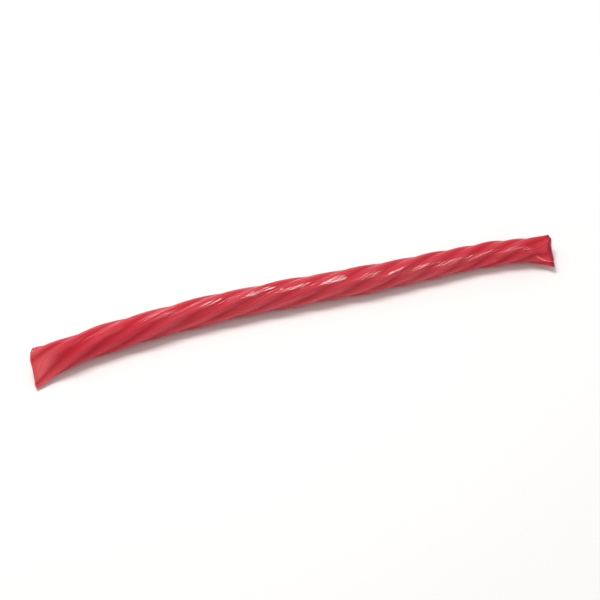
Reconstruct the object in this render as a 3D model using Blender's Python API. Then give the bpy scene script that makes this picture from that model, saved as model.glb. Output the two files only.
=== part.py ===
"""A red licorice twist: one stick of soft candy, lying as it would on a table.

Six round lobes wind round the middle line in a left-handed helix that tightens towards the
right. The stick bends a little in plan, it is thinner in its right third, and both ends are
pinched flat and flared where they were cut. Metres, +X along the stick, +Z up, front at -Y.
"""

from collections import namedtuple
from math import atan2, copysign, cos, hypot, pi, radians, sin, sqrt, tan, tau

import bmesh
import bpy
from mathutils import Vector

# The stick
LENGTH = 0.200                      # along the middle line
THICK_RADIUS = 0.00535              # middle line to the top of a lobe, in the left part
THIN_RADIUS = 0.00480               # the same in the right third
THINNING = (0.62, 0.86)             # fractions of the length between which it gets thinner

# The lobes
LOBES = 6
LOBE_ROUNDING = 0.42                # radius of a lobe's own curve, as a share of the crest radius
GROOVE_FLOOR = 0.885                # how far the grooves lie from the middle line, as such a share
GROOVE_SOFTNESS = 0.17              # how far up its sides a groove is rounded, as such a share
LOBE_SHIFT = radians(3.5)           # how far a lobe sits from its even place
LOBE_SWELL = 0.030                  # how much a lobe swells and shrinks along the stick
SWELLS = 2.6                        # swells in the length
LOBE_STEP = 2.3                     # phase from one lobe's unevenness to the next, in radians

# The helix
TURNS_PER_METRE = (11.2, 10.4, 18.6)    # at the left end, the middle and the right end
FIRST_CREST = radians(120.0)        # a lobe's angle at the left end, from the top to the front

# How the stick bends sideways in plan: share of the length, and offset towards the back
BEND = (
    (0.000, 0.00000), (0.055, 0.00340), (0.130, 0.00600), (0.240, 0.00795),
    (0.360, 0.00875), (0.500, 0.00780), (0.630, 0.00635), (0.760, 0.00585),
    (0.870, 0.00540), (0.948, 0.00320), (1.000, 0.00000),
)

# The pinched ends: the width of the cut edge, how far that edge rises towards the back, how
# far the cut runs askew, how far from the end the pinch starts, how the end flares (1 flares
# evenly, more keeps the flare close to the cut), how much of the back corner is rounded away,
# and which way the stick lies from the cut
End = namedtuple("End", "width tilt slant reach flare corner inward")
LEFT_END = End(
    width=0.0136, tilt=radians(40), slant=radians(15), reach=0.0160, flare=1.1,
    corner=0.0016, inward=1.0,
)
RIGHT_END = End(
    width=0.0136, tilt=radians(16), slant=radians(-4), reach=0.0100, flare=1.5,
    corner=0.0007, inward=-1.0,
)
EDGE_THICKNESS = 0.0022             # of the cut edge
EDGE_SQUARENESS = 0.45              # 0 leaves the flat end oval, 1 makes it a box
EDGE_SMOOTHNESS = 0.35              # how much of the lobes' relief is pressed out at the cut
CORNER_SHARPNESS = 5.0              # more keeps the rounding of the back corner close to it

# How it lies: each lobe that touches the table is pressed flat by this much
REST_PRESS = 0.00025

# The facets
FACETS_A_LOBE = 8
AROUND = FACETS_A_LOBE * LOBES
END_SECTIONS = 12                   # sections along a pinched end
MIDDLE_STEP = 0.0025                # distance between sections elsewhere

# The candy
CANDY_COLOUR = (0.56, 0.055, 0.075, 1.0)
CANDY_ROUGHNESS = 0.32


def ease(share):
    """Smooth step from 0 to 1 as the share goes from 0 to 1."""
    share = min(max(share, 0.0), 1.0)
    return share * share * (3.0 - 2.0 * share)


def crest_radius(along):
    """Distance from the middle line to the top of a lobe, at a share of the length."""
    start, end = THINNING
    thinned = ease((along - start) / (end - start))
    return THICK_RADIUS + (THIN_RADIUS - THICK_RADIUS) * thinned


def turns(along):
    """Turns that the helix has made since the left end: its three rates, on a parabola."""
    left, middle, right = TURNS_PER_METRE
    slope = 4.0 * middle - 3.0 * left - right
    curve = 2.0 * left - 4.0 * middle + 2.0 * right
    return LENGTH * (left * along + slope * along ** 2 / 2.0 + curve * along ** 3 / 3.0)


def bend_slope(index):
    """Slope of the bend at one of its points, from the points beside it."""
    before = BEND[max(index - 1, 0)]
    after = BEND[min(index + 1, len(BEND) - 1)]
    return (after[1] - before[1]) / (after[0] - before[0])


def bend(along):
    """Sideways offset of the middle line: a smooth curve through BEND's points."""
    index = max(i for i in range(len(BEND) - 1) if BEND[i][0] <= max(along, 0.0))
    (start, low), (end, high) = BEND[index], BEND[index + 1]
    span = end - start
    t = (along - start) / span
    blend = t * t * (3.0 - 2.0 * t)
    leaving = t * (1.0 - t) ** 2 * span * bend_slope(index)
    arriving = t * t * (1.0 - t) * span * bend_slope(index + 1)
    return low + (high - low) * blend + leaving - arriving


def smooth_max(one, other, reach):
    """The larger of two numbers, with the change from one to the other rounded."""
    nearness = max(reach - abs(one - other), 0.0) / reach
    return max(one, other) + nearness ** 3 * reach / 6.0


def lobe_profile(angle):
    """Radius of the section, as a share of the crest radius, at an angle from a lobe's top."""
    centre = 1.0 - LOBE_ROUNDING
    lobe = centre * cos(angle) + sqrt(LOBE_ROUNDING ** 2 - (centre * sin(angle)) ** 2)
    return smooth_max(lobe, GROOVE_FLOOR, GROOVE_SOFTNESS)


def lobed_point(along, index):
    """One of a section's points before any pinching: how far it is to the front and up."""
    lobe, step = divmod(index, FACETS_A_LOBE)
    from_crest = tau / LOBES * (step / FACETS_A_LOBE - 0.5)
    phase = LOBE_STEP * lobe
    crest_share = cos(from_crest * LOBES / 2.0)
    shift = LOBE_SHIFT * sin(phase) * crest_share
    swell = 1.0 + LOBE_SWELL * sin(tau * SWELLS * along + phase) * crest_share
    radius = crest_radius(along) * lobe_profile(from_crest) * swell
    angle = FIRST_CREST - tau * turns(along) + tau * lobe / LOBES + from_crest + shift
    return radius * sin(angle), radius * cos(angle)


def signed_power(value, power):
    """Power of a number's size, with the number's sign."""
    return copysign(abs(value) ** power, value)


def pinched_point(along, front, up, end, amount):
    """A section's point pressed towards the flat, flared end: along, to the front and up."""
    radius = crest_radius(along)
    across = up * sin(end.tilt) - front * cos(end.tilt)
    through = up * cos(end.tilt) + front * sin(end.tilt)
    size = hypot(across, through) / radius
    size += (1.0 - size) * EDGE_SMOOTHNESS * amount
    angle = atan2(through, across)
    power = 1.0 - EDGE_SQUARENESS * amount
    half_width = radius + (end.width / 2.0 - radius) * amount ** end.flare
    half_thickness = radius + (EDGE_THICKNESS / 2.0 - radius) * ease(amount)
    kept_relief = (size - 1.0) * radius * amount
    across = half_width * size * signed_power(cos(angle), power)
    through = (half_thickness * size + kept_relief) * signed_power(sin(angle), power)
    worn = end.corner * max(across / half_width, 0.0) ** CORNER_SHARPNESS * amount
    ahead = across * tan(end.slant) * amount + end.inward * worn
    front = through * sin(end.tilt) - across * cos(end.tilt)
    up = through * cos(end.tilt) + across * sin(end.tilt)
    return ahead, front, up


def section_distances():
    """Distances along the stick at which it gets a section: closer together at the ends."""
    left = LEFT_END.reach
    right = LENGTH - RIGHT_END.reach
    middle_sections = round((right - left) / MIDDLE_STEP)
    distances = [left * k / END_SECTIONS for k in range(END_SECTIONS)]
    distances += [left + (right - left) * k / middle_sections for k in range(middle_sections)]
    distances += [right + RIGHT_END.reach * k / END_SECTIONS for k in range(END_SECTIONS + 1)]
    return distances


def middle_line():
    """Walk along the stick: each section's distance, its place and its heading."""
    distances = section_distances()
    places = [Vector((0.0, bend(0.0), 0.0))]
    for before, distance in zip(distances, distances[1:]):
        sideways = bend(distance / LENGTH) - places[-1].y
        forward = sqrt((distance - before) ** 2 - sideways ** 2)
        places.append(places[-1] + Vector((forward, sideways, 0.0)))
    last = len(places) - 1
    headings = [
        (places[min(index + 1, last)] - places[max(index - 1, 0)]).normalized()
        for index in range(len(places))
    ]
    return list(zip(distances, places, headings))


def section(distance, place, heading):
    """The points of one section, in order round the stick."""
    along = distance / LENGTH
    to_front = Vector((heading.y, -heading.x, 0.0))
    height = crest_radius(along) - REST_PRESS
    left_amount = 1.0 - distance / LEFT_END.reach
    right_amount = 1.0 - (LENGTH - distance) / RIGHT_END.reach
    points = []
    for index in range(AROUND):
        ahead = 0.0
        front, up = lobed_point(along, index)
        if left_amount > 0.0:
            ahead, front, up = pinched_point(along, front, up, LEFT_END, left_amount)
        if right_amount > 0.0:
            ahead, front, up = pinched_point(along, front, up, RIGHT_END, right_amount)
        point = place + heading * ahead + to_front * front
        point.z = max(height + up, 0.0)
        points.append(point)
    return points


def middle_of(points):
    """Middle of the points' box in plan."""
    xs = [point.x for point in points]
    ys = [point.y for point in points]
    return Vector((min(xs) + max(xs), min(ys) + max(ys), 0.0)) / 2.0


def stick_mesh():
    """The whole stick as one closed skin: sections joined by triangles, and a fan on each cut."""
    sections = [section(*station) for station in middle_line()]
    middle = middle_of([point for points in sections for point in points])
    skin = bmesh.new()
    rings = [[skin.verts.new(point - middle) for point in points] for points in sections]
    for near, far in zip(rings, rings[1:]):
        for index in range(AROUND):
            beside = (index + 1) % AROUND
            skin.faces.new((near[index], near[beside], far[index]))
            skin.faces.new((near[beside], far[beside], far[index]))
    for ring in (rings[0], rings[-1]):
        centre = skin.verts.new(sum((vert.co for vert in ring), Vector()) / AROUND)
        for index in range(AROUND):
            skin.faces.new((ring[index], ring[(index + 1) % AROUND], centre))
    bmesh.ops.recalc_face_normals(skin, faces=skin.faces)
    mesh = bpy.data.meshes.new("licorice_twist")
    skin.to_mesh(mesh)
    skin.free()
    return mesh


def candy_material():
    """Glossy soft red candy."""
    material = bpy.data.materials.new("red_candy")
    material.use_nodes = True
    shader = material.node_tree.nodes["Principled BSDF"]
    shader.inputs["Base Color"].default_value = CANDY_COLOUR
    shader.inputs["Roughness"].default_value = CANDY_ROUGHNESS
    shader.inputs["Metallic"].default_value = 0.0
    return material


def clear_scene():
    """Start from an empty scene."""
    for thing in list(bpy.data.objects):
        bpy.data.objects.remove(thing, do_unlink=True)


def main():
    """Make the stick, shade it smooth but for its cut edges, and put it in the scene."""
    clear_scene()
    mesh = stick_mesh()
    mesh.shade_smooth()
    mesh.set_sharp_from_angle(angle=pi / 4.0)
    mesh.materials.append(candy_material())
    stick = bpy.data.objects.new("licorice_twist", mesh)
    bpy.context.scene.collection.objects.link(stick)


main()
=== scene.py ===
# %% [markdown]
# # A red licorice twist
# A stick of soft red candy, as long as a hand, lies on a pale table. It was pressed out of a
# nozzle with rounded lobes, twisted while it was warm, and cut by a blade that pinched both
# ends flat. This file dresses the plain solid from the CAD model with the candy's real skin.
#
# We begin by loading that solid. It is the fixed frame: everything below is made in its
# coordinates, in metres, and stays inside its box.

# %% Load the frame
from math import cos, pi, radians, sin, sqrt, tau

import bpy
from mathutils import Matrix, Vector


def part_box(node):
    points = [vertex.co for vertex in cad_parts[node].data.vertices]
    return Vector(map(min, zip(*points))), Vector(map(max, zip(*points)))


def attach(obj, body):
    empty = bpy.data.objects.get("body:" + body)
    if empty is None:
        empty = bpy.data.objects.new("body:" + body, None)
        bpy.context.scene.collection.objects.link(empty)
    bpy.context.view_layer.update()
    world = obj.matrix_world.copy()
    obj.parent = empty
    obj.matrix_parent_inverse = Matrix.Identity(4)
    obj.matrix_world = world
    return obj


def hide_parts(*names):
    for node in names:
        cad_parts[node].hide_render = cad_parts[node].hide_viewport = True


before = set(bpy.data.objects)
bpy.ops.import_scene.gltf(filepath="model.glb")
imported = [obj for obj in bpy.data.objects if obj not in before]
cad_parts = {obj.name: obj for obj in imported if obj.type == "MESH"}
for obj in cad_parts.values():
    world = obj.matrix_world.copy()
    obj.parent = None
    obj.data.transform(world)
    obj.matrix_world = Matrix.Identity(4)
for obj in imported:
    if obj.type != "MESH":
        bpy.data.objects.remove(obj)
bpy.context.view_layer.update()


# %% [markdown]
# ## Writing node trees as sums
# Blender joins its nodes with wires, and a formula of twenty terms is hard to read as wires.
# Python can read it as it stands if a socket knows what to do with `+`, `-`, `*` and `/`, so
# this small class wraps one output socket, and each sign adds one Math node. The reflected
# forms, such as `__rsub__`, are there for a plain number on the left, as in `1 - mask`.

# %% A socket that can be calculated with
class Socket:
    """An output socket. Python's signs on it add Math nodes to its tree."""

    def __init__(self, sheet, output):
        self.sheet = sheet
        self.output = output

    def __add__(self, other):
        return self.sheet.maths("ADD", self, other)

    def __radd__(self, other):
        return self.sheet.maths("ADD", other, self)

    def __sub__(self, other):
        return self.sheet.maths("SUBTRACT", self, other)

    def __rsub__(self, other):
        return self.sheet.maths("SUBTRACT", other, self)

    def __mul__(self, other):
        return self.sheet.maths("MULTIPLY", self, other)

    def __rmul__(self, other):
        return self.sheet.maths("MULTIPLY", other, self)

    def __truediv__(self, other):
        return self.sheet.maths("DIVIDE", self, other)

    def __rtruediv__(self, other):
        return self.sheet.maths("DIVIDE", other, self)

    def __pow__(self, other):
        return self.sheet.maths("POWER", self, other)


# %% [markdown]
# Every other node comes from one method. It takes the node's type, its sockets' values or
# links by name or number, and its settings, which are set first because they may change
# which sockets the node shows.

# %% A sheet on which nodes are placed
class Sheet:
    """A node tree, with one method that adds a node and joins it up."""

    def __init__(self, tree):
        self.tree = tree

    def node(self, kind, sockets=None, output=0, **settings):
        """Add a node, and give back one of its outputs if it has any."""
        node = self.tree.nodes.new(kind)
        for name, value in settings.items():
            setattr(node, name, value)
        for name, value in (sockets or {}).items():
            self.join(value, self.find(node.inputs, name))
        return Socket(self, self.find(node.outputs, output)) if node.outputs else None

    def find(self, sockets, name):
        if isinstance(name, int):
            return sockets[name]
        return next(socket for socket in sockets if socket.name == name and socket.enabled)

    def join(self, value, target):
        if isinstance(value, Socket):
            self.tree.links.new(value.output, target)
        else:
            target.default_value = value

    def maths(self, operation, *values):
        return self.node("ShaderNodeMath", dict(enumerate(values)), operation=operation)

    def vector(self, *parts):
        return self.node("ShaderNodeCombineXYZ", dict(enumerate(parts)))

    def also(self, socket, output):
        """Another output of the node that a socket belongs to."""
        return Socket(self, self.find(socket.output.node.outputs, output))


# %% [markdown]
# ## The path of the stick
# The stick lies on the table and bends a little sideways. Its middle line is a curve object in
# plan: eleven measured points, a smooth curve through them, and then a walk along that curve
# in equal steps, so that the line is exactly as long as the candy. A bent cylinder would do for
# one even bend, but this one changes on the way, and a path can follow it. The wound skin will
# be laid along it.

# %% The bend
LENGTH = 0.200                      # of the candy, along its middle line
BEND = (                            # share of the length, and offset towards the back
    (0.000, 0.00000), (0.055, 0.00340), (0.130, 0.00600), (0.240, 0.00795),
    (0.360, 0.00875), (0.500, 0.00780), (0.630, 0.00635), (0.760, 0.00585),
    (0.870, 0.00540), (0.948, 0.00320), (1.000, 0.00000),
)


def bend_slope(index):
    """Slope of the bend at one of its points, from the points beside it."""
    before = BEND[max(index - 1, 0)]
    after = BEND[min(index + 1, len(BEND) - 1)]
    return (after[1] - before[1]) / (after[0] - before[0])


def bend(along):
    """Sideways offset of the middle line at a share of the length."""
    index = max(i for i in range(len(BEND) - 1) if BEND[i][0] <= along)
    (start, low), (end, high) = BEND[index], BEND[index + 1]
    span = end - start
    t = (along - start) / span
    blend = t * t * (3.0 - 2.0 * t)
    leaving = t * (1.0 - t) ** 2 * span * bend_slope(index)
    arriving = t * t * (1.0 - t) * span * bend_slope(index + 1)
    return low + (high - low) * blend + leaving - arriving


print("greatest offset:", max(offset for _, offset in BEND) * 1000, "mm")

# %% The middle line
PATH_STEPS = 400


def path_points():
    """Points at equal steps along the middle line."""
    step = LENGTH / PATH_STEPS
    points = [Vector((0.0, bend(0.0), 0.0))]
    for number in range(1, PATH_STEPS + 1):
        sideways = bend(number / PATH_STEPS) - points[-1].y
        points.append(points[-1] + Vector((sqrt(step ** 2 - sideways ** 2), sideways, 0.0)))
    return points


def path_object():
    """The middle line as a curve object."""
    points = path_points()
    curve = bpy.data.curves.new("middle_line", "CURVE")
    curve.dimensions = "3D"
    spline = curve.splines.new("POLY")
    spline.points.add(len(points) - 1)
    for spline_point, point in zip(spline.points, points):
        spline_point.co = (point.x, point.y, point.z, 1.0)
    path = bpy.data.objects.new("candy_twist", curve)
    bpy.context.scene.collection.objects.link(path)
    return path


twist_path = path_object()
print("middle line:", len(twist_path.data.splines[0].points), "points,", LENGTH * 1000, "mm")

# %% [markdown]
# ## The candy's finish
# Red licorice is a cooked dough of flour and syrup: it lets some light in, which comes out
# again redder a few millimetres away, and its skin is smooth and a little oily. A plain red
# paint would look like plastic, so the shader gets subsurface scattering for the dough, and a
# thin clear coat, with glints that are sharper than the skin below it, for the oil.
#
# The colour is darker in the grooves and along the fine lines, which is painted shade, and
# lighter at the pinched ends, most of all the left one, which is painted light from the table and
# through the thin candy. It is nearly black on the cuts, which is painted shade too, and faint
# streaks follow the pull of the nozzle. Noise on the object's own coordinates can't know where a
# groove is. So the skin that is made further down carries five attributes, which wind with it:
# the groove shade, the light at the ends, the shade on the cuts, the shine and the grain.

# %% Candy colours and shine
CANDY = {
    "lobe": (0.660, 0.053, 0.082, 1.0),
    # painted shade for the grooves and the fine lines
    "groove": (0.470, 0.009, 0.022, 1.0),
    # painted light at the pinched ends, from the table and through the thin candy
    "pinched": (0.740, 0.125, 0.140, 1.0),
    "streak": (0.590, 0.031, 0.055, 1.0),
    # painted shade on the cuts
    "cut": (0.260, 0.014, 0.040, 1.0),
}
LIGHT_REACH = (0.0045, 0.0008, 0.0007)  # how far red, green and blue light spread in the dough
LIGHT_THAT_ENTERS = 0.50
BARE_SPECULAR = 0.08                # the skin's own reflection, without the coat
DULLNESS = (0.24, 0.44)             # roughness of the smoothest and of the dullest skin
COAT = 0.95                         # weight of the coat
COAT_PATCHINESS = 0.8               # how much that varies in patches
COAT_ROUGHNESS = 0.06
GRAIN_DEPTH = 0.00008               # of the fine grain on the skin, and how strongly it shows
GRAIN_STRENGTH = 0.35
print("candy colours:", ", ".join(CANDY))

# %% [markdown]
# The material is a function, so that its sockets' names stay its own. Each `mix` lays one more
# colour over the ones before it, from the streaks up to the painted shade on the cut. Only the
# base colour, the roughness, the coat's weight and the normal change over the surface.

# %% Candy material
def candy_material():
    """Soft red candy: a little light passes through it, and its skin shines."""
    material = bpy.data.materials.new("red_candy_skin")
    material.use_nodes = True
    sheet = Sheet(material.node_tree)
    shader = material.node_tree.nodes["Principled BSDF"]
    shader.inputs["Subsurface Weight"].default_value = LIGHT_THAT_ENTERS
    shader.inputs["Subsurface Radius"].default_value = LIGHT_REACH
    shader.inputs["Subsurface Scale"].default_value = 1.0
    shader.inputs["Specular IOR Level"].default_value = BARE_SPECULAR
    shader.inputs["Coat Roughness"].default_value = COAT_ROUGHNESS

    def carried(name, output="Fac"):
        return sheet.node("ShaderNodeAttribute", output=output, attribute_name=name)

    def noise(coordinates, scale, detail):
        sockets = {"Vector": coordinates, "Scale": scale, "Detail": detail}
        return sheet.node("ShaderNodeTexNoise", sockets)

    def mix(share, low, high):
        return sheet.node(
            "ShaderNodeMix", {"Factor": share, "A": low, "B": high}, output="Result",
            data_type="RGBA", clamp_factor=True,
        )

    place = sheet.node("ShaderNodeTexCoord", output="Object")
    streaks = noise(carried("grain", "Vector"), scale=2.2, detail=3.0)
    clouds = noise(place, scale=90.0, detail=2.0)
    specks = noise(place, scale=1500.0, detail=2.0)

    # Noise lies round 0.5 and seldom leaves 0.3 to 0.7, so each use shifts and stretches it
    skin = mix((streaks - 0.38) * 3.0, CANDY["lobe"], CANDY["streak"])
    # painted light: the pinched ends, the left one most, are made paler, as lit from the table
    # and through the thin candy
    skin = mix(carried("painted_table_light"), skin, CANDY["pinched"])
    # painted shade: the grooves and the fine lines are made darker
    skin = mix(carried("groove") ** 0.8 * 0.9, skin, CANDY["groove"])
    # painted shade: the cuts and a frayed band beside them are made nearly black
    skin = mix(carried("cut") * 0.85, skin, CANDY["cut"])
    sheet.join(skin, shader.inputs["Base Color"])

    smoothest, dullest = DULLNESS
    dull = smoothest + (dullest - smoothest) * (0.5 * clouds + 0.7 * streaks)
    sheet.join(dull, shader.inputs["Roughness"])
    coat = (COAT - COAT_PATCHINESS * (clouds - 0.3)) * carried("shine")
    sheet.join(coat, shader.inputs["Coat Weight"])

    relief = {
        "Height": specks * 0.35 + streaks, "Strength": GRAIN_STRENGTH, "Distance": GRAIN_DEPTH,
    }
    bump = sheet.node("ShaderNodeBump", relief, output="Normal")
    sheet.join(bump, shader.inputs["Normal"])
    return material


candy = candy_material()
print("candy material:", len(candy.node_tree.nodes), "nodes")

# %% [markdown]
# ## The wound skin
# Six lobes wind round the middle line. They could be modelled one by one and twisted with a
# modifier, but the winding tightens, the stick thins and the ends are pressed flat, all at
# once. A shape that follows a rule is best made by Geometry Nodes: start with a plain cylinder,
# work out for each of its points how far along and how far round it is, and send it to its
# place on the candy. Every size is a named input of the tree, in metres, radians, turns or
# shares.

# %% The sizes of the twist
SIZES = {
    # How thick it is, and where along it gets thinner
    "Thick radius": 0.00535,
    "Thin radius": 0.00480,
    "Thins from": 0.62,
    "Thins to": 0.86,
    # The lobes, and how uneven they are
    "Lobe rounding": 0.42,
    "Groove floor": 0.885,
    "Groove softness": 0.17,
    "Lobe shift": radians(3.5),
    "Lobe swell": 0.030,
    "Swells": 2.6,
    "Lobe step": 2.3,
    # The ridges and dents
    "Ridge depth": 0.00014,
    "Ridge wander": 1.8,
    "Ridges in the plain part": 0.65,
    "Plain part ends": 0.45,
    "Dent depth": 0.00016,
    # The helix, and how it rests
    "Turns a metre, left": 11.2,
    "Turns a metre, middle": 10.4,
    "Turns a metre, right": 18.6,
    "First crest": radians(120.0),
    "Rest press": 0.00025,
    # The pinched ends
    "Edge thickness": 0.0022,
    "Edge squareness": 0.45,
    "Edge smoothness": 0.35,
    "Edge relief": 1.4,
    "Corner sharpness": 5.0,
    "Cut dish": 0.00025,
    # The shine
    "Shine in the plain part": 0.30,
    "Shine at the right end": 0.50,
}
ENDS = {                            # left end, right end
    "width": (0.0136, 0.0136),
    "tilt": (radians(40), radians(16)),
    "slant": (radians(15), radians(-4)),
    "reach": (0.0160, 0.0100),
    "flare": (1.1, 1.5),
    "corner": (0.0016, 0.0007),
    "fray": (0.00018, 0.00080),
    # painted shade on the cuts: how dark it is at each end, and the amount of pinch where it
    # begins
    "cut shade": (0.22, 1.0),
    "cut shade from": (0.88, 0.80),
    # painted light from the table and through the thin candy, for each end
    "table light": (1.0, 0.15),
}
for size_name, (left_size, right_size) in ENDS.items():
    SIZES["Left end, " + size_name] = left_size
    SIZES["Right end, " + size_name] = right_size
print("named sizes:", len(SIZES))

# %% [markdown]
# The tree is empty but for its inputs and its output. The next cells fill it, in the order of
# the recipe. `size` fetches a named size from the Group Input node.

# %% Begin the tree
skin_tree = bpy.data.node_groups.new("wound_skin", "GeometryNodeTree")
skin_tree.interface.new_socket("Path", in_out="INPUT", socket_type="NodeSocketGeometry")
skin_tree.interface.new_socket("Material", in_out="INPUT", socket_type="NodeSocketMaterial")
for size_name, value in SIZES.items():
    tree_input = skin_tree.interface.new_socket(
        size_name, in_out="INPUT", socket_type="NodeSocketFloat"
    )
    tree_input.default_value = value
skin_tree.interface.new_socket("Skin", in_out="OUTPUT", socket_type="NodeSocketGeometry")
sheet = Sheet(skin_tree)
path_given = sheet.node("NodeGroupInput", output="Path")


def size(name):
    """One of the tree's named sizes."""
    return sheet.also(path_given, name)


tree_inputs = [item for item in skin_tree.interface.items_tree if item.in_out == "INPUT"]
print("tree inputs:", len(tree_inputs))

# %% [markdown]
# A few more functions for formulas. `ease` rises smoothly from 0 to 1 between two values, and
# `between` goes from one value to another. Most of what fades in or out below is one of these.

# %% Sines and smooth steps
def sine(value):
    return sheet.maths("SINE", value)


def cosine(value):
    return sheet.maths("COSINE", value)


def tangent(value):
    return sheet.maths("TANGENT", value)


def size_of(value):
    return sheet.maths("ABSOLUTE", value)


def signed_power(value, power):
    """Power of a number's size, with the number's sign."""
    return sheet.maths("SIGN", value) * size_of(value) ** power


def ease(value, start, end):
    """Smooth step from 0 to 1."""
    return sheet.node(
        "ShaderNodeMapRange", {"Value": value, "From Min": start, "From Max": end},
        interpolation_type="SMOOTHSTEP",
    )


def between(low, high, share):
    """A value between two others."""
    return low + (high - low) * share


# %% [markdown]
# ### The cylinder
# It is one unit thick and one long, so that its own coordinates are the shares that the
# formulas need: `along` from the left end to the right, `around` the stick, and `share` from
# the middle of a cut to its edge, which is 1 on the side. The cuts are fans with a few rings,
# because they will be dished. The skin needs enough facets round it for the ridges: eight or
# so for each.

# %% Start from a cylinder
LOBES = 6
RIDGES_A_LOBE = 6
AROUND = LOBES * 46                 # facets round the stick
SECTIONS = 336                      # facets along it
RINGS_ON_CUT = 6

cylinder = sheet.node(
    "GeometryNodeMeshCylinder",
    {
        "Vertices": AROUND, "Side Segments": SECTIONS, "Fill Segments": RINGS_ON_CUT,
        "Radius": 1.0, "Depth": 1.0,
    },
    fill_type="TRIANGLE_FAN",
)
position = sheet.node("GeometryNodeInputPosition")
x = sheet.node("ShaderNodeSeparateXYZ", {"Vector": position}, output="X")
y = sheet.also(x, "Y")
along = sheet.also(x, "Z") + 0.5
share = sheet.maths("MINIMUM", (x * x + y * y) ** 0.5, 1.0)
around = sheet.maths("WRAP", sheet.maths("ARCTAN2", y, x), tau, 0.0)
print("facets of the cylinder:", AROUND, "round and", SECTIONS, "along")

# %% [markdown]
# ### Two ends, one formula
# Both ends are pinched in the same way, but by different amounts. Rather than writing the
# pinch twice, we ask which end a point is nearer to and read that end's sizes. `amount` is 0
# where the pinch starts and 1 at the cut.

# %% The nearer end
at_right = sheet.maths("GREATER_THAN", along, 0.5)


def of_end(name):
    """A size of the end that the point is nearer to."""
    return between(size("Left end, " + name), size("Right end, " + name), at_right)


from_end = LENGTH * (along + (1.0 - 2.0 * along) * at_right)
amount = sheet.maths("MAXIMUM", 1.0 - from_end / of_end("reach"), 0.0)
print("pinched at the left and right:", [reach * 1000 for reach in ENDS["reach"]], "mm")

# %% [markdown]
# ### The lobes
# The nozzle gave the stick a section like a flower: an arc for each lobe, and a shallow round
# groove between two. `from_crest` is the angle from the top of the point's lobe. The arc's
# formula and the groove's floor are joined by a smooth maximum, which leaves no hard corner.
# Candy is never even, so each lobe swells, shrinks and sits a little off its place. Both are
# nought in the grooves, where the lobes have to meet.

# %% The lobed section
lobe_place = around * (LOBES / tau)
lobe = sheet.maths("FLOOR", lobe_place)
from_crest = (lobe_place - lobe - 0.5) * (tau / LOBES)
on_crest = cosine(from_crest * (LOBES / 2.0))
phase = lobe * size("Lobe step")

thinned = ease(along, size("Thins from"), size("Thins to"))
crest = between(size("Thick radius"), size("Thin radius"), thinned)
arc_centre = 1.0 - size("Lobe rounding")
arc_aside = arc_centre * sine(from_crest)
arc_reach = (size("Lobe rounding") * size("Lobe rounding") - arc_aside * arc_aside) ** 0.5
arc = arc_centre * cosine(from_crest) + arc_reach
profile = sheet.maths("SMOOTH_MAX", arc, size("Groove floor"), size("Groove softness"))
swell = 1.0 + size("Lobe swell") * on_crest * sine(along * tau * size("Swells") + phase)
print("lobes:", LOBES, "- nodes so far:", len(skin_tree.nodes))

# %% [markdown]
# ### Ridges and dents
# The nozzle also drew fine lines along each lobe, and the ridges between them catch the light
# as rows of small dashes. A bump map would make the dashes but leave the mesh smooth, so the
# lines are cut into it: a line lies wherever a sine is nought. The sine wanders sideways, and
# the lines fade in and out. They are weaker in the plain left part and where the ends are
# pressed flat.
#
# The noise is read at a point on a circle, stretched along the stick, so that it has no seam
# where the circle closes. Its seed is its offset: each use reads another, fixed part of it.

# %% Noise that is drawn out along the lobes
GRAIN_LENGTHWAYS = 4.0

grain = sheet.vector(cosine(around), sine(around), along * GRAIN_LENGTHWAYS)


def drawn_noise(across, lengthways, offset):
    """Noise about nought: how fine it is in the two directions, and which part is read."""
    stretched = sheet.node(
        "ShaderNodeVectorMath",
        {0: grain, 1: (across, across, lengthways), 2: (offset, offset, offset)},
        output="Vector", operation="MULTIPLY_ADD",
    )
    noise = sheet.node("ShaderNodeTexNoise", {"Vector": stretched, "Scale": 1.0, "Detail": 1.0})
    return noise - 0.5


wander = drawn_noise(across=0.9, lengthways=2.6, offset=11.0)
fading = drawn_noise(across=2.2, lengthways=3.0, offset=37.0)
dents = drawn_noise(across=1.5, lengthways=2.4, offset=71.0)
fraying = drawn_noise(across=6.0, lengthways=1.0, offset=23.0)
print("four patterns of noise - nodes so far:", len(skin_tree.nodes))

# %% Cut the lines and the dents
LINES_FADE = (-0.22, 0.14)          # noise at which a line is gone, and at which it is whole
DENTS_FADE = (-0.30, 0.30)          # the same for the dents
PRESSED = (0.1, 0.8)                # amounts of pinch between which the blade flattens the lines
PRESSED_OUT = 0.75                  # share of a line that is then gone

line_turn = around * (LOBES * RIDGES_A_LOBE / 2.0) + wander * size("Ridge wander") * tau
line = 1.0 - size_of(sine(line_turn))
plain_to_wound = ease(along, 0.0, size("Plain part ends"))
lines_here = ease(fading, *LINES_FADE) * between(
    size("Ridges in the plain part"), 1.0, plain_to_wound
)
lines_left = 1.0 - PRESSED_OUT * ease(amount, *PRESSED)
line_cut = size("Ridge depth") * line * lines_here * lines_left
dent_cut = size("Dent depth") * ease(dents, *DENTS_FADE)
radius = crest * profile * swell - line_cut - dent_cut
print("ridges round the stick:", LOBES * RIDGES_A_LOBE)

# %% [markdown]
# ### The helix
# The stick was twisted more tightly towards its right end. The turns that the helix has made
# are the area under its rate, and the rate is a parabola through three measured values, so a
# cubic gives them. `front` and `up` are the section's two directions.

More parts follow.
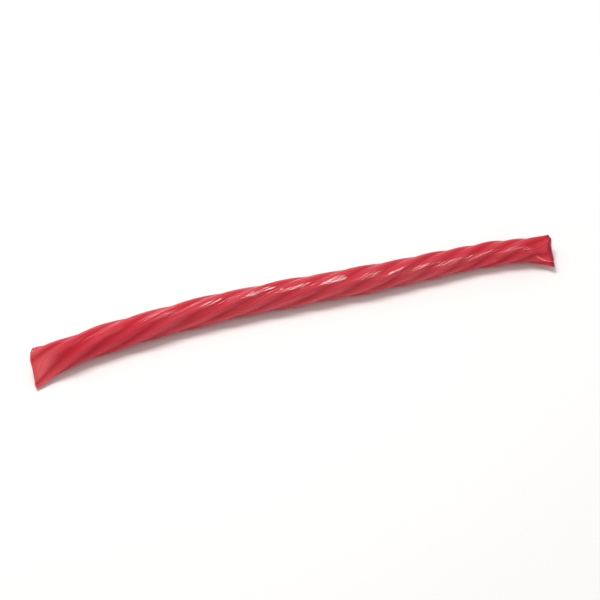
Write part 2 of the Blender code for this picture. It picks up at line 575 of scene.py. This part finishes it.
# %% Wind the section
left_rate = size("Turns a metre, left")
middle_rate = size("Turns a metre, middle")
right_rate = size("Turns a metre, right")
rate_slope = 4.0 * middle_rate - 3.0 * left_rate - right_rate
rate_curve = 2.0 * left_rate - 4.0 * middle_rate + 2.0 * right_rate
turns = LENGTH * along * (left_rate + along * (rate_slope / 2.0 + along * rate_curve / 3.0))
lobe_shift = size("Lobe shift") * sine(phase) * on_crest
angle = size("First crest") - tau * turns + around - pi / LOBES + lobe_shift
front = radius * sine(angle)
up = radius * cosine(angle)
print("wound - nodes so far:", len(skin_tree.nodes))

# %% [markdown]
# ### The pinched ends
# The blade pressed each end into a flat, flared edge that lies askew. The section is read in
# the edge's own directions, `across` it and `through` it. It is stretched to the edge's width
# and pressed to its thickness, its angles are made squarer, and part of the lobes' relief
# stays, as it does on the real cut. `share` draws the rings of the cut in to its middle.

# %% Pinch the ends
edge_up, edge_flat = sine(of_end("tilt")), cosine(of_end("tilt"))
across = up * edge_up - front * edge_flat
through = up * edge_flat + front * edge_up
from_middle = (across * across + through * through) ** 0.5
stretch = from_middle / crest
stretch = stretch + (1.0 - stretch) * size("Edge smoothness") * amount
squareness = 1.0 - size("Edge squareness") * amount
half_width = crest + (of_end("width") / 2.0 - crest) * amount ** of_end("flare")
half_thickness = between(crest, size("Edge thickness") / 2.0, ease(amount, 0.0, 1.0))
kept_relief = (stretch - 1.0) * size("Edge relief") * crest * amount

thickness_here = half_thickness * stretch + kept_relief
across = half_width * stretch * signed_power(across / from_middle, squareness) * share
through = thickness_here * signed_power(through / from_middle, squareness) * share
front = through * edge_up - across * edge_flat
up = through * edge_flat + across * edge_up
print("pinched - nodes so far:", len(skin_tree.nodes))

# %% [markdown]
# ### The cuts
# A blade that squeezes before it cuts leaves a ragged edge. The back corner is rounded away,
# the edge is scalloped from lobe to lobe, with some noise to fray it, and the cut face is
# slightly dished. All of it is a small shift along the stick, and nearly all of it inwards, so
# that the skin stays inside the solid's box.

# %% Slant, scallop and dish the cuts
FRAYED_FROM = 0.70                  # amount of pinch at which the fraying starts
SCALLOPS = (0.6, 0.4)               # shares of the wide scallops and of the narrow ones

inward = 1.0 - 2.0 * at_right
wide, narrow = SCALLOPS
scallop = wide * (1.0 - on_crest) + narrow * size_of(sine(around * float(LOBES)))
back_edge = sheet.maths("MAXIMUM", across / half_width, 0.0)
worn = of_end("corner") * back_edge ** size("Corner sharpness") * amount
worn = worn + of_end("fray") * (scallop + fraying) * ease(amount, FRAYED_FROM, 1.0)
dish = size("Cut dish") * (1.0 - share * share)
ahead = across * tangent(of_end("slant")) * amount + inward * (worn * share + dish)
print("cut - nodes so far:", len(skin_tree.nodes))

# %% [markdown]
# ### Onto the path
# Sample Curve gives the path's place and heading at the same share of the length. The section
# is set up across that heading. Where a lobe would sink into the table it is pressed flat
# against it, as soft candy is by its own weight.

# %% Lay the skin along the path
path_place = sheet.node(
    "GeometryNodeSampleCurve", {"Curves": path_given, "Factor": along},
    output="Position", mode="FACTOR",
)
heading_x = sheet.node("ShaderNodeSeparateXYZ", {"Vector": sheet.also(path_place, "Tangent")})
heading_y = sheet.also(heading_x, "Y")
place_x = sheet.node("ShaderNodeSeparateXYZ", {"Vector": path_place})
place_y = sheet.also(place_x, "Y")
skin_place = sheet.vector(
    place_x + heading_x * ahead + heading_y * front,
    place_y + heading_y * ahead - heading_x * front,
    sheet.maths("MAXIMUM", crest - size("Rest press") + up, 0.0),
)
print("laid on the path - nodes so far:", len(skin_tree.nodes))

# %% [markdown]
# ### What the finish reads
# The formulas know where each groove, end and cut is, so they also work out the attributes
# that the material asked for: the painted shade in the grooves and on the cuts, the painted
# light at the ends, and the shine. The left part of the stick is the plainest and dullest one,
# and the shine rises from there and falls again at the right end.

# %% Masks for the finish
LINES_DARKEN = 0.55                 # how much of the painted groove shade the fine lines get
ENDS_LIGHTEN = 0.35                 # how much of that painted shade is lost at a pinched end
CUT_SHADE_FRAYING = 0.25                # how far noise moves the border of the painted shade at a cut, as a pinch's amount
CUT_SHADE_WIDTH = 0.14                  # of that painted shade's soft border, as such an amount
PALE_BY = 0.9                       # amount of pinch at which an end's painted light is strongest
CUT_FACE = 0.999                    # less of a share than this is on the cut's own face
SHINE_RISES = (0.10, 0.38)          # shares of the length between which it rises
SHINE_FALLS = (0.74, 0.86)          # and between which it falls again

# Painted shade in the grooves and along the fine lines, and less of it at the pinched ends
depth = 1.0 - (profile - size("Groove floor")) / (1.0 - size("Groove floor"))
groove = depth * (1.0 - ENDS_LIGHTEN * amount) + LINES_DARKEN * line * lines_here
groove = sheet.maths("MINIMUM", groove, 1.0)
# Painted shade on the cuts and on a frayed band beside them
cut_shade_from = of_end("cut shade from")
near_cut = ease(amount + CUT_SHADE_FRAYING * fraying, cut_shade_from, cut_shade_from + CUT_SHADE_WIDTH)
on_cut = sheet.maths("LESS_THAN", share, CUT_FACE)
cut = of_end("cut shade") * sheet.maths("MAXIMUM", near_cut, on_cut)
shine = between(size("Shine in the plain part"), 1.0, ease(along, *SHINE_RISES))
shine = shine * between(1.0, size("Shine at the right end"), ease(along, *SHINE_FALLS))
# Painted light at the pinched ends, from the table and through the thin candy
painted_table_light = ease(amount, 0.0, PALE_BY) * of_end("table light")
print("masks: groove, cut, shine, pale - nodes so far:", len(skin_tree.nodes))

# %% [markdown]
# The cylinder now takes the attributes and then its new shape, in this order, because the
# formulas read the place that it had before. Realize Instances and Set Material close the
# tree.

# %% Close the tree
skin = cylinder
for name, value, kind in (
    ("groove", groove, "FLOAT"), ("cut", cut, "FLOAT"), ("shine", shine, "FLOAT"),
    ("painted_table_light", painted_table_light, "FLOAT"), ("grain", grain, "FLOAT_VECTOR"),
):
    skin = sheet.node(
        "GeometryNodeStoreNamedAttribute", {"Geometry": skin, "Name": name, "Value": value},
        data_type=kind, domain="POINT",
    )
skin = sheet.node("GeometryNodeSetPosition", {"Geometry": skin, "Position": skin_place})
skin = sheet.node("GeometryNodeRealizeInstances", {"Geometry": skin})
skin = sheet.node(
    "GeometryNodeSetMaterial", {"Geometry": skin, "Material": sheet.also(path_given, "Material")}
)
sheet.node("NodeGroupOutput", {"Skin": skin})
print("wound skin:", len(skin_tree.nodes), "nodes")

# %% [markdown]
# ## From tree to candy
# The modifier runs the tree on the path. Its inputs are set by their identifiers before it is
# first evaluated. Its result is copied into a plain mesh and the path is removed, because what
# is exported later is a mesh and no modifier.

# %% Make the skin
def made_skin(path, tree, material):
    """The tree's result on the path, as a plain mesh object."""
    modifier = path.modifiers.new("wound skin", "NODES")
    modifier.node_group = tree
    values = dict(SIZES, Material=material)
    for item in tree.interface.items_tree:
        if item.in_out == "INPUT" and item.name in values:
            modifier[item.identifier] = values[item.name]
    evaluated = path.evaluated_get(bpy.context.evaluated_depsgraph_get())
    mesh = bpy.data.meshes.new_from_object(evaluated)
    mesh.name = "candy_twist"
    path.modifiers.remove(modifier)
    bpy.data.objects.remove(path, do_unlink=True)
    made = bpy.data.objects.new("candy_twist", mesh)
    bpy.context.scene.collection.objects.link(made)
    return made


twist = made_skin(twist_path, skin_tree, candy)
print("skin:", len(twist.data.vertices), "points,",
      sum(len(face.vertices) - 2 for face in twist.data.polygons), "triangles")

# %% [markdown]
# The path started at its own left end, while the CAD solid lies with its middle at the origin.
# So the mesh is moved by the distance between the middles of the two boxes, and the object
# itself stays at the origin. The skin is shaded smooth, but for the edges that the blade cut.

# %% Put the skin where the solid lies
SHARP_FROM = radians(50.0)


def middle_in_plan(corners):
    """Middle of a box, at height nought."""
    low, high = corners
    return Vector(((low[0] + high[0]) / 2.0, (low[1] + high[1]) / 2.0, 0.0))


spread = [[pick(vert.co[axis] for vert in twist.data.vertices) for axis in range(3)]
          for pick in (min, max)]
move = middle_in_plan(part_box("licorice_twist")) - middle_in_plan(spread)
for vert in twist.data.vertices:
    vert.co += move
twist.data.shade_smooth()
twist.data.set_sharp_from_angle(angle=SHARP_FROM)
print("moved by:", [round(number * 1000, 2) for number in move], "mm")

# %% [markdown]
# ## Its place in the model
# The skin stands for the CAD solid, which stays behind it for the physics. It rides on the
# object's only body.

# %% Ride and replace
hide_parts("licorice_twist")
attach(twist, "root")
print("pieces:", twist.name)

# %% [markdown]
# ## The table
# A plain pale floor, matt and a touch warm, wide enough to fill every view. One large square is
# enough for it. It isn't part of the candy.

# %% Floor
FLOOR_SIDE = 8.0
FLOOR_COLOUR = (0.93, 0.925, 0.92, 1.0)
FLOOR_ROUGHNESS = 0.75
FLOOR_SPECULAR = 0.2


def floor_material():
    """Matt, nearly white."""
    material = bpy.data.materials.new("pale_table")
    material.use_nodes = True
    shader = material.node_tree.nodes["Principled BSDF"]
    shader.inputs["Base Color"].default_value = FLOOR_COLOUR
    shader.inputs["Roughness"].default_value = FLOOR_ROUGHNESS
    shader.inputs["Specular IOR Level"].default_value = FLOOR_SPECULAR
    return material


def floor():
    """A square at the level that the candy lies on."""
    half = FLOOR_SIDE / 2.0
    corners = [(-half, -half, 0.0), (half, -half, 0.0), (half, half, 0.0), (-half, half, 0.0)]
    mesh = bpy.data.meshes.new("table_top")
    mesh.from_pydata(corners, [], [(0, 1, 2, 3)])
    mesh.materials.append(floor_material())
    made = bpy.data.objects.new("table_top", mesh)
    bpy.context.scene.collection.objects.link(made)
    return made


floor()
print("floor:", FLOOR_SIDE, "m square")

# %% [markdown]
# ## The light
# The candy was seen in a bright room. An even white world gives the soft fill, and one large
# softbox above and behind gives the shading and the short soft shadow in front of the stick.
# It would also lay one broad sheen over every lobe, so reflections don't show it.
#
# The glints on the real candy are small and crisp. They come from small, distant lights, and
# three of these stand in for them: a window low behind, for the thin glints along the far
# edge, a lamp above, for the dashes on top of the lobes, and one in front, for the few on their
# near side. These three show in reflections alone, so they add no second shadow.

# %% Lights
WORLD_STRENGTH = 0.52
WORLD_COLOUR = (1.0, 0.99, 0.985, 1.0)
DAYLIGHT = (1.0, 0.98, 0.96)
LAMPLIGHT = (1.0, 0.99, 0.97)
LOOK_AT = Vector((0.0, 0.0, 0.005))  # the middle of the candy


def aim(thing, place, looked_at):
    """Put a light or a camera at a place and turn it to what it looks at."""
    thing.location = place
    thing.rotation_euler = (Vector(place) - looked_at).to_track_quat("Z", "Y").to_euler()


def softbox(name, place, width, height, power, tint, glints=True, fills=True):
    """A rectangular light that points at the candy. It may show in reflections, fill, or both."""
    light = bpy.data.lights.new(name, "AREA")
    light.shape = "RECTANGLE"
    light.size = width
    light.size_y = height
    light.energy = power
    light.color = tint
    lamp = bpy.data.objects.new(name, light)
    lamp.visible_glossy = glints
    lamp.visible_diffuse = fills
    bpy.context.scene.collection.objects.link(lamp)
    aim(lamp, place, LOOK_AT)


world = bpy.data.worlds.new("bright_room")
world.use_nodes = True
world.node_tree.nodes["Background"].inputs["Color"].default_value = WORLD_COLOUR
world.node_tree.nodes["Background"].inputs["Strength"].default_value = WORLD_STRENGTH
bpy.context.scene.world = world
softbox(
    "window_behind", place=(-0.12, 0.72, 0.36), width=0.26, height=0.08, power=1.2,
    tint=DAYLIGHT, fills=False,
)
softbox(
    "softbox_behind", place=(-0.10, 0.25, 0.80), width=0.34, height=0.34, power=5.0,
    tint=LAMPLIGHT, glints=False,
)
softbox(
    "lamp_above", place=(0.18, -0.18, 0.39), width=0.11, height=0.11, power=1.0,
    tint=LAMPLIGHT, fills=False,
)
softbox(
    "lamp_in_front", place=(0.16, -0.32, 0.34), width=0.05, height=0.05, power=0.18,
    tint=LAMPLIGHT, fills=False,
)
bpy.context.scene.view_settings.view_transform = "Standard"

# %% [markdown]
# ## The camera
# It looks down at the table at 50 degrees, turned a little to the left of the stick, with a
# long lens half a metre away, as the photograph was taken. An angle, a height and a distance
# are easier to match to a photograph than a place, so the place is worked out from them.

# %% Camera
CAMERA_TURN = radians(-16.7)
CAMERA_HEIGHT = radians(50.0)       # as an angle above the table
CAMERA_DISTANCE = 0.514
LENS = 84.0                         # focal length in millimetres
NEAREST = 0.01                      # distance at which the camera begins to see

towards_camera = Vector((
    sin(CAMERA_TURN) * cos(CAMERA_HEIGHT),
    -cos(CAMERA_TURN) * cos(CAMERA_HEIGHT),
    sin(CAMERA_HEIGHT),
))
lens = bpy.data.cameras.new("camera")
lens.lens = LENS
lens.clip_start = NEAREST
camera = bpy.data.objects.new("camera", lens)
bpy.context.scene.collection.objects.link(camera)
aim(camera, LOOK_AT + towards_camera * CAMERA_DISTANCE, LOOK_AT)
bpy.context.scene.camera = camera
print("camera:", [round(number, 3) for number in camera.location], "m")

# %% [markdown]
# ## Finish
# The scene is brought up to date. The dressed candy must not be bigger than the CAD
# solid.

# %% The last line
bpy.context.view_layer.update()
